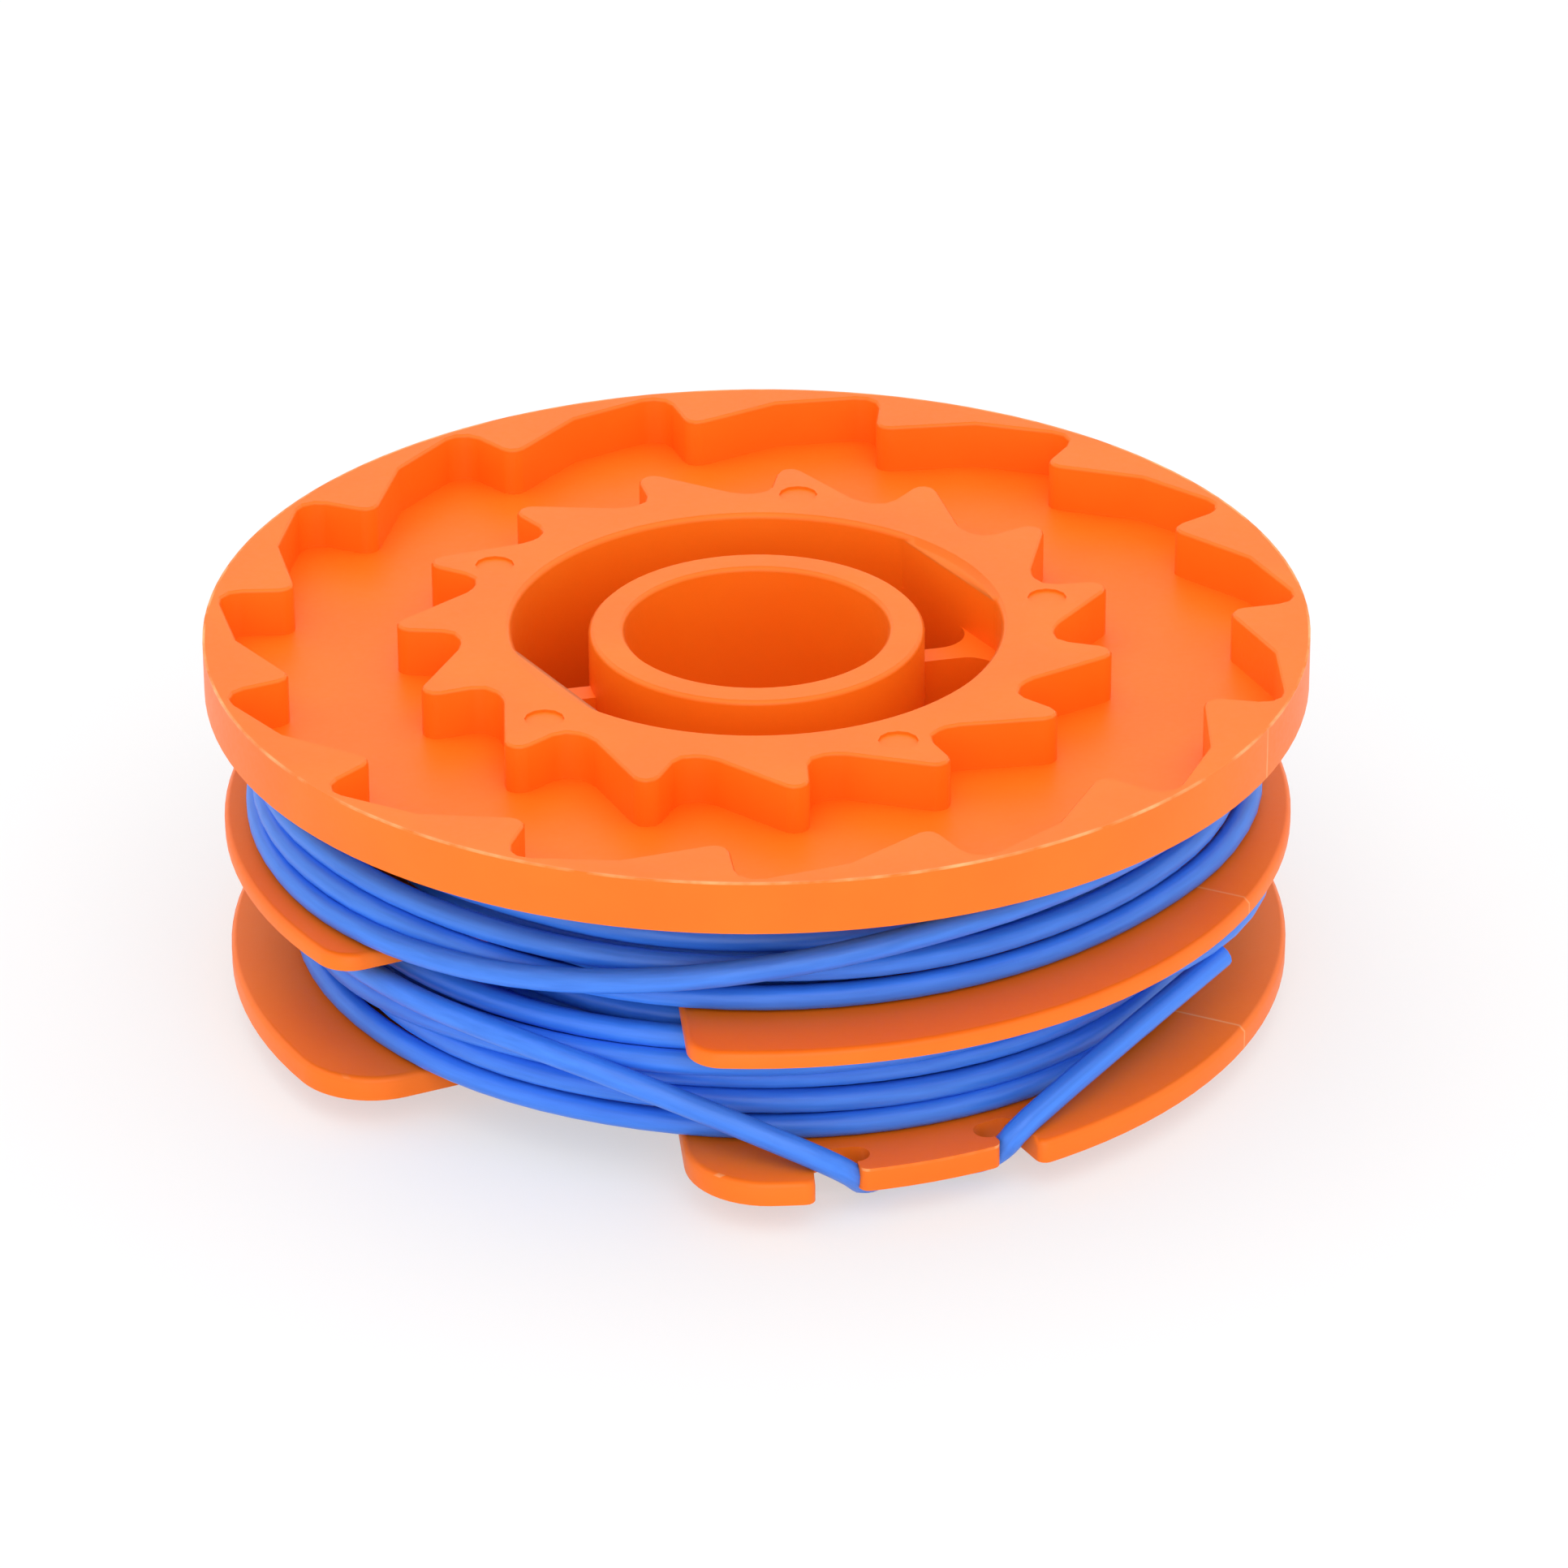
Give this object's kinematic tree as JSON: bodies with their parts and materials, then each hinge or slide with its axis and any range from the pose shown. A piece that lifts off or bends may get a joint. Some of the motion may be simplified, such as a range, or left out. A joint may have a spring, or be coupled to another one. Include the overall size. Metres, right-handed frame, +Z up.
{
  "type": "trimmer line spool",
  "caption": "Round orange plastic spool with a toothed ratchet face, a bored hub and flanged bays that hold wound blue trimmer line, its cut end parked in flange slots.",
  "frame": {"origin": "on the bore's axis, level with the foot of the hub that the spool stands on", "axes": "+Z up the bore towards the ratchet face, +X to the right and -Y to the front as the picture shows it"},
  "size_m": [0.067, 0.067, 0.024],
  "materials": {
    "spool_plastic": "satin moulded orange plastic",
    "line": "smooth blue extruded nylon line"
  },
  "bodies": {
    "root": {"spool_body": "spool_plastic", "upper_line_winding": "line", "lower_line_winding": "line", "upper_line_tail": "line", "lower_line_tail": "line"}
  },
  "joints": []
}
